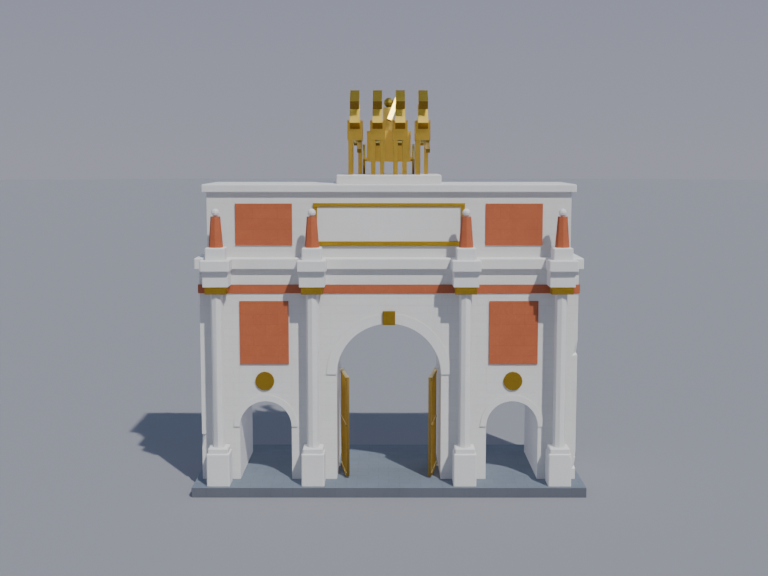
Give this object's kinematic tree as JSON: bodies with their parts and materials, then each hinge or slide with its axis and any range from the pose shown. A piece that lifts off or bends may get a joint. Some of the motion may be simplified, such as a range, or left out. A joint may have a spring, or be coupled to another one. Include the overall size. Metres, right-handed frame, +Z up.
{
  "type": "triumphal arch",
  "caption": "Pale stone triumphal arch with red panels, pale columns and gilded trim, a four-horse chariot on top and hinged bronze gate leaves in the central passage",
  "frame": {"origin": "centre of the platform's underside, at ground level", "axes": "+X to the right seen from the front, +Y through the arch from front to back, +Z up"},
  "size_m": [23, 10.06, 23.6381],
  "materials": {
    "pale_stone": "dressed pale grey-white stone, matt",
    "platform_stone": "grey paving stone, matt",
    "terracotta": "red-brown stone, matt",
    "gilding": "old gilded bronze, half matt",
    "gate_bronze": "dull gilded bronze sheet"
  },
  "bodies": {
    "arch": {"platform": "platform_stone", "pier_outer_left": "pale_stone", "pier_outer_right": "pale_stone", "pier_inner_left": "pale_stone", "pier_inner_right": "pale_stone", "side_arch_left": "pale_stone", "side_arch_right": "pale_stone", "side_wall_left": "pale_stone", "side_wall_right": "pale_stone", "central_arch": "pale_stone", "central_wall": "pale_stone", "red_band": "terracotta", "frieze": "pale_stone", "main_cornice": "pale_stone", "attic": "pale_stone", "attic_cornice": "pale_stone", "pedestals": "pale_stone", "column_bases": "pale_stone", "column_shafts": "pale_stone", "capitals": "gilding", "entablature_blocks": "pale_stone", "cornice_blocks": "pale_stone", "statue_dies": "pale_stone", "statue_robes": "terracotta", "statue_heads": "pale_stone", "upper_panels": "terracotta", "lower_panels": "terracotta", "medallions": "gilding", "inscription_panels": "pale_stone", "inscription_frames": "gilding", "archivolts": "pale_stone", "keystones": "gilding", "gate_pivots": "pale_stone", "quadriga_pedestal": "pale_stone", "horse_outer_left": "gilding", "horse_inner_left": "gilding", "horse_inner_right": "gilding", "horse_outer_right": "gilding", "chariot": "gilding", "chariot_wheels": "gilding", "chariot_hubs": "gilding", "driver_robe": "gilding", "driver_head": "gilding", "driver_arm": "gilding"},
    "gate_left": {"gate_leaf_left": "gate_bronze", "gate_rails_left": "gate_bronze"},
    "gate_right": {"gate_leaf_right": "gate_bronze", "gate_rails_right": "gate_bronze"}
  },
  "joints": [
    {"name": "gate_left_hinge", "type": "hinge", "parent": "arch", "child": "gate_left", "pos_m": [-2.863, -0.2, 3.7], "axis": [0, 0, 1], "range_deg": [-8.7, 81.3]},
    {"name": "gate_right_hinge", "type": "hinge", "parent": "arch", "child": "gate_right", "pos_m": [2.863, -0.2, 3.7], "axis": [0, 0, -1], "range_deg": [-8.7, 81.3]}
  ]
}
